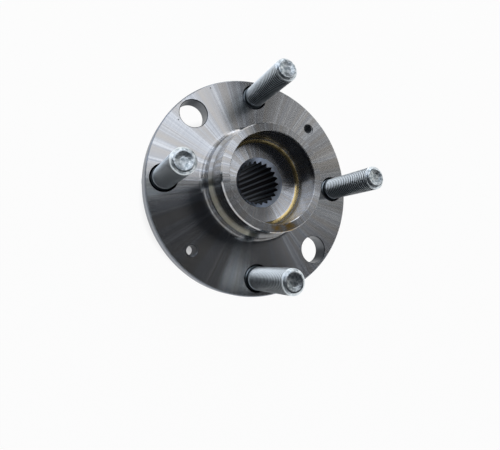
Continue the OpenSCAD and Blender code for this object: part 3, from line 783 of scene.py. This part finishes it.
def threadedBlank(name, outline, threadFrom, threadTo, pitch, rowsPerPitch, columns):
    # a turned blank whose rows climb with the helix between the two heights, so that crests run true
    work = bmesh.new()

    def ring(points):
        return [work.verts.new((x * mm, y * mm, z * mm)) for x, y, z in points]

    def flatRing(r, z):
        return ring([(*onCircle(r, 360 * k / columns), z) for k in range(columns)])

    def radiusAt(h):
        for (r1, z1), (r2, z2) in zip(outline, outline[1:]):
            if min(z1, z2) <= h <= max(z1, z2) and z1 != z2:
                return r1 + (r2 - r1) * (h - z1) / (z2 - z1)
        return outline[-1][0]

    def helixRing(base):
        points = []
        for k in range(columns):
            h = min(max(base + pitch * k / columns, threadFrom), threadTo)
            points.append((*onCircle(radiusAt(h), 360 * k / columns), h))
        return ring(points)

    rows = math.ceil(((threadTo - threadFrom) / pitch + 1) * rowsPerPitch)
    lower = [flatRing(r, z) for r, z in outline if r > 0 and z < threadFrom]
    helix = [helixRing(threadFrom + (n / rowsPerPitch - 1) * pitch) for n in range(rows + 1)]
    upper = [flatRing(r, z) for r, z in outline if r > 0 and z > threadTo]
    for first, second in zip(lower + helix[:1], lower[1:] + helix[:1]):
        bridge(work, first, second, first[:1], second[:1])
    for n in range(rows):
        # the last column meets the first one a whole turn further up
        seam = [helix[min(n + rowsPerPitch + step, rows)][0] for step in (0, 1)]
        bridge(work, helix[n], helix[n + 1], seam[:1], seam[1:])
    for first, second in zip(helix[-1:] + upper, upper):
        bridge(work, first, second, first[:1], second[:1])
    for ends, z in ((lower[0], outline[0][1]), (upper[-1], outline[-1][1])):
        centre = work.verts.new((0, 0, z * mm))
        for k in range(columns):
            work.faces.new((centre, ends[k], ends[(k + 1) % columns]))
    mesh = bpy.data.meshes.new(name)
    work.to_mesh(mesh)
    work.free()
    return mesh


def bridge(work, first, second, firstSeam, secondSeam):
    # a band of faces between two rings, closed at the given seam vertices
    firstRing, secondRing = first + firstSeam, second + secondSeam
    for k in range(len(first)):
        corners = (firstRing[k], firstRing[k + 1], secondRing[k + 1], secondRing[k])
        if len(set(corners)) == 4:
            work.faces.new(corners)


threads = threadTree()


def cutThread(blank, name, values):
    source = linkObject(name + "Blank", blank)
    modifier = source.modifiers.new("threadAndKnurl", "NODES")
    modifier.node_group = threads
    setInputs(modifier, values)
    made = applyModifiers(source, name)
    nearby = 1e-6  # metres: points closer than this become one
    work = bmesh.new()
    work.from_mesh(made.data)
    bmesh.ops.remove_doubles(work, verts=work.verts, dist=nearby)
    bmesh.ops.dissolve_degenerate(work, edges=work.edges, dist=nearby)
    bmesh.ops.recalc_face_normals(work, faces=work.faces)
    work.to_mesh(made.data)
    work.free()
    return made


# Tap for the rotor's two screw holes: M6, with its countersinks
tap = {"rowsPerPitch": 8, "columns": 48, "endGap": 0.01, "runOut": 0.2, "crestShare": 0.12, "rootShare": 0.25}


def screwTap():
    over = hub["cutterOver"]
    threadR = hub["screwThreadR"]
    depth = threadR - hub["screwCoreR"]
    chamfer = hub["screwChamfer"] - depth
    bottom, top = -hub["flangeThickness"] + chamfer, -chamfer
    outline = [
        (0, bottom - chamfer - over), (threadR + chamfer + over, bottom - chamfer - over), (threadR, bottom),
        (threadR, top), (threadR + chamfer + over, over), (0, over)]
    blank = threadedBlank(
        "screwTapBlank", outline, bottom + tap["endGap"], top - tap["endGap"], hub["screwPitch"],
        tap["rowsPerPitch"], tap["columns"])
    return cutThread(blank, "screwTap", {
        "Pitch": hub["screwPitch"] * mm, "Depth": depth * mm,
        "Thread Start": bottom * mm, "Thread End": top * mm, "Run Out": tap["runOut"] * mm,
        "Crest Share": tap["crestShare"], "Root Share": tap["rootShare"]})


def turnedCopy(mesh, name, x, y, degrees=0):
    copy = mesh.copy()
    copy.name = name
    copy.transform(Matrix.Translation((x * mm, y * mm, 0)) @ Matrix.Rotation(math.radians(degrees), 4, "Z"))
    return linkObject(name, copy)


def joinMeshes(name, objects):
    work = bmesh.new()
    for piece in objects:
        work.from_mesh(piece.data)
        bpy.data.objects.remove(piece)
    mesh = bpy.data.meshes.new(name)
    work.to_mesh(mesh)
    work.free()
    return linkObject(name, mesh)


def mouthCone(name, face, sign):
    # a cone whose wide end stands past the face, to chamfer the ends of the teeth
    foot = hub["minorR"] - hub["mouthDepth"]
    over = hub["cutterOver"]
    reach = hub["mouthR"] - foot
    outline = [
        (0, face + sign * over), (hub["mouthR"] + over, face + sign * over),
        (foot, face - sign * reach), (0, face - sign * reach)]
    return linkObject(name, revolve(name, outline, hub["mouthSegments"]))


def makeHub():
    body = linkObject("hubForgingBlank", revolve("hubForging", hubOutline(), hub["segments"]))
    roundHoles = [
        ("studHole", hub["studAngles"], hub["studHoleR"], hub["studCountersink"], hub["studHoleSegments"]),
        ("accessHole", hub["accessAngles"], hub["accessHoleR"], hub["accessChamfer"], hub["accessSegments"]),
    ]
    cutters = []
    for name, angles, radius, chamfer, segments in roundHoles:
        for degrees in angles:
            centre = onCircle(hub["studCircleR"], degrees)
            cutters.append(linkObject(name, revolve(name, holeOutline(radius, chamfer), segments, centre)))
    master = screwTap()
    for degrees in hub["screwAngles"]:
        x, y = onCircle(hub["studCircleR"], degrees)
        cutters.append(turnedCopy(master.data, "screwHole", x, y, degrees))
    bpy.data.objects.remove(master)
    cutters.append(linkObject("splineCutter", splineCutter()))
    holes = joinMeshes("holeCutters", cutters)
    cones = joinMeshes("coneCutters", [
        mouthCone("wheelSideCone", hub["counterboreFloor"], 1),
        mouthCone("axleSideCone", hub["spindleEnd"], -1)])
    for cutter in (holes, cones):
        modifier = body.modifiers.new("cut", "BOOLEAN")
        modifier.operation = "DIFFERENCE"
        modifier.solver = "MANIFOLD"
        modifier.object = cutter
    made = applyModifiers(body, "hubForging")
    for cutter in (holes, cones):
        bpy.data.objects.remove(cutter)
    return made


def smoothByAngle(piece, degrees):
    # flat faces keep flat normals, and rounded ones shade smoothly
    for polygon in piece.data.polygons:
        polygon.use_smooth = True
    piece.data.set_sharp_from_angle(angle=math.radians(degrees))
    modifier = piece.modifiers.new("weightedNormals", "WEIGHTED_NORMAL")
    modifier.keep_sharp = True
    return applyModifiers(piece, piece.name + "Finished")


hubPiece = smoothByAngle(makeHub(), hub["smoothBelow"])
hubPiece.name = "hubForging"
hubPiece.data.materials.clear()
hubFinishes = {
    "turned": turnedSteelMaterial(turnedSteel),
    "splineFlank": broachedSteelMaterial(),
    "pilot": turnedSteelMaterial(pilotSteel),
    "drilled": finishedSurface("drilledHoleSteel", drilledSteel),
    "countersink": finishedSurface("shadedCountersinkSteel", countersinkShadeSteel),
    "rim": turnedSteelMaterial(rimSteel),
    "toothEnd": finishedSurface("highlightedToothEndSteel", toothEndHighlightSteel),
}
holeFinishes = [
    (hub["studAngles"], hub["studHoleR"] + hub["studCountersink"], "countersink"),
    (hub["accessAngles"], hub["accessHoleR"] + hub["accessChamfer"], "drilled"),
    (hub["screwAngles"], hub["screwCoreR"] + hub["screwChamfer"], "drilled"),
]
# how the faces are told apart: tilt of their normals, margins in mm, and the share of the rim's chamfer
faceLimits = {"upright": 0.3, "level": 0.99, "holeMargin": 0.02, "pilotMargin": 0.1, "rimShare": 0.75}


def finishOf(polygon):
    # which of the finishes a face of the forging has, by its place and tilt
    spot = polygon.center
    reach = spot.xy.length
    tilt = abs(polygon.normal.z)
    if tilt < faceLimits["level"]:
        for angles, radius, finish in holeFinishes:
            for degrees in angles:
                x, y = onCircle(hub["studCircleR"], degrees)
                if math.hypot(spot.x - x * mm, spot.y - y * mm) < (radius + faceLimits["holeMargin"]) * mm:
                    return finish
        if reach < hub["mouthR"] * mm:
            return "splineFlank" if tilt < faceLimits["upright"] else "toothEnd"
    if reach > (hub["rimR"] - hub["rimFrontChamfer"] * faceLimits["rimShare"]) * mm:
        return "rim"
    onPilot = reach < (hub["rotorPilotR"] + faceLimits["pilotMargin"]) * mm and spot.z > 0
    return "pilot" if onPilot and tilt < faceLimits["upright"] else "turned"


for finish in hubFinishes.values():
    hubPiece.data.materials.append(finish)
finishNames = list(hubFinishes)
for polygon in hubPiece.data.polygons:
    polygon.material_index = finishNames.index(finishOf(polygon))
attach(hubPiece, "hub")
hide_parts("hub_flange")
print("hub forging cut:", len(hubPiece.data.polygons), "faces")


# Wheel studs: pressed in from behind, rolled M12 thread, cupped tip, in mm
stud = {
    "headR": 8.75, "headThickness": 4.5, "headChamfer": 0.8, "headRound": 0.2,
    "seatRound": 0.1, "seatGap": 0.02,
    "knurlR": 6.5, "knurlTeeth": 44, "knurlDepth": 0.35, "knurlEdge": 0.3, "knurlRunOut": 0.2,
    "neckR": 5.75, "neckTop": -0.15, "shankR": 6.0, "shankEdge": 0.05, "shankFrom": 0.1, "collar": 1.6,
    "reach": 37.9, "tipR": 4.6, "tipFootRound": 0.5, "lipRound": 0.9,
    "cupR": 3.9, "cupFloorR": 2.0, "cupDepth": 0.45, "cupEdgeShare": 0.95, "cupRound": 2.5,
    "pitch": 1.5, "threadDepth": 0.86, "crestShare": 0.18, "rootShare": 0.22,
    "threadFromCollar": 0.01, "threadBeforeTip": 0.05, "threadOver": 0.02,
    "columns": 88, "rowsPerPitch": 10, "headSteps": 3, "tipSteps": 5, "smoothBelow": 40,
    "turnStep": 127,  # degrees that each stud is turned on from the one before, so that no two look the same
}


def studOutline():
    back = -hub["flangeThickness"]
    headFoot = back - stud["headThickness"]
    knurlTop = -hub["studCountersink"]
    tip = stud["reach"]
    head = roundedOutline([
        (0, headFoot, 0),
        (stud["headR"] - stud["headChamfer"], headFoot, stud["headRound"]),
        (stud["headR"], headFoot + stud["headChamfer"], stud["headRound"]),
        (stud["headR"], back - stud["seatGap"], stud["seatRound"]),
        (stud["knurlR"], back - stud["seatGap"], 0)], stud["headSteps"])
    cup = roundedOutline([
        (stud["shankR"], tip - (stud["shankR"] - stud["tipR"]), stud["tipFootRound"]),
        (stud["tipR"], tip, stud["lipRound"]),
        (stud["cupR"], tip, stud["lipRound"]),
        (stud["cupFloorR"], tip - stud["cupDepth"] * stud["cupEdgeShare"], stud["cupRound"]),
        (0, tip - stud["cupDepth"], 0)], stud["tipSteps"])
    neck = [
        (stud["knurlR"], back + stud["knurlEdge"]), (stud["knurlR"], knurlTop - stud["knurlEdge"]),
        (stud["neckR"], knurlTop), (stud["neckR"], stud["neckTop"]),
        (stud["shankR"] - stud["shankEdge"], 0), (stud["shankR"], stud["shankFrom"]),
        (stud["shankR"], stud["collar"])]
    return head + neck, cup


def makeStud():
    lower, cup = studOutline()
    threadFrom = stud["collar"] + stud["threadFromCollar"]
    threadTo = cup[0][1] - stud["threadBeforeTip"]
    blank = threadedBlank(
        "studBlank", lower + [(stud["shankR"], threadFrom), (stud["shankR"], threadTo)] + cup,
        threadFrom, threadTo, stud["pitch"], stud["rowsPerPitch"], stud["columns"])
    return cutThread(blank, "studMaster", {
        "Pitch": stud["pitch"] * mm, "Depth": stud["threadDepth"] * mm, "Run Out": stud["pitch"] * mm,
        "Thread Start": threadFrom * mm, "Thread End": (threadTo + stud["threadOver"]) * mm,
        "Crest Share": stud["crestShare"], "Root Share": stud["rootShare"],
        "Knurl Teeth": stud["knurlTeeth"], "Knurl Depth": stud["knurlDepth"] * mm,
        "Knurl Start": (stud["knurlRunOut"] - hub["flangeThickness"]) * mm,
        "Knurl End": -(hub["studCountersink"] + stud["knurlRunOut"]) * mm})


studMaster = smoothByAngle(makeStud(), stud["smoothBelow"])
studMaterial = finishedSurface("brightZincPlate", zincPlate, stud["reach"] - zincPlate["tipDepth"])
for k, degrees in enumerate(hub["studAngles"]):
    x, y = onCircle(hub["studCircleR"], degrees)
    piece = turnedCopy(studMaster.data, "wheelStud%d" % (k + 1), x, y, k * stud["turnStep"])
    piece.data.materials.clear()
    piece.data.materials.append(studMaterial)
    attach(piece, "hub")
    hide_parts("wheel_stud_%d" % (k + 1))
bpy.data.objects.remove(studMaster)
print("wheel studs threaded")


# Bearing and seals keep their own shapes and get their finishes
pressedSteel = {
    "colour": "#A9ABAD", "secondColour": "#9C9EA1", "metallic": 1,
    "roughness": 0.34, "roughnessSpread": 0.06, "blotchMm": 6, "grainMm": 0.3, "grainDepthMm": 0.006,
}
nitrileRubber = {
    "colour": "#1B1B1C", "secondColour": "#232324", "metallic": 0,
    "roughness": 0.6, "roughnessSpread": 0.08, "blotchMm": 3, "grainMm": 0.25, "grainDepthMm": 0.012,
}
cagePolyamide = {
    "colour": "#CDB98A", "secondColour": "#C4AF80", "metallic": 0,
    "roughness": 0.45, "roughnessSpread": 0.06, "blotchMm": 5, "grainMm": 0.3, "grainDepthMm": 0.0072,
}
lappedBalls = {
    "colour": "#D6D8DA", "secondColour": "#D0D2D5", "metallic": 1,
    "roughness": 0.06, "roughnessSpread": 0.02, "blotchMm": 4, "grainMm": 0.2, "grainDepthMm": 0.0006,
}


def dressBearing():
    ringFinish = turnedSteelMaterial(ringSteel)
    finishes = {
        "outer_ring": ringFinish,
        "inner_ring": ringFinish,
        "seal_case": finishedSurface("pressedSealSteel", pressedSteel),
        "seal_cover": finishedSurface("pressedCoverSteel", pressedSteel),
        "seal_lip": finishedSurface("mouldedNitrileRubber", nitrileRubber),
        "cage": finishedSurface("mouldedPolyamide", cagePolyamide),
        "ball": finishedSurface("lappedBallSteel", lappedBalls),
    }
    for node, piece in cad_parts.items():
        for prefix, material in finishes.items():
            if node.startswith(prefix):
                piece.data.materials.clear()
                piece.data.materials.append(material)


dressBearing()
print("bearing finished")

bpy.context.scene.view_settings.view_transform = "Standard"
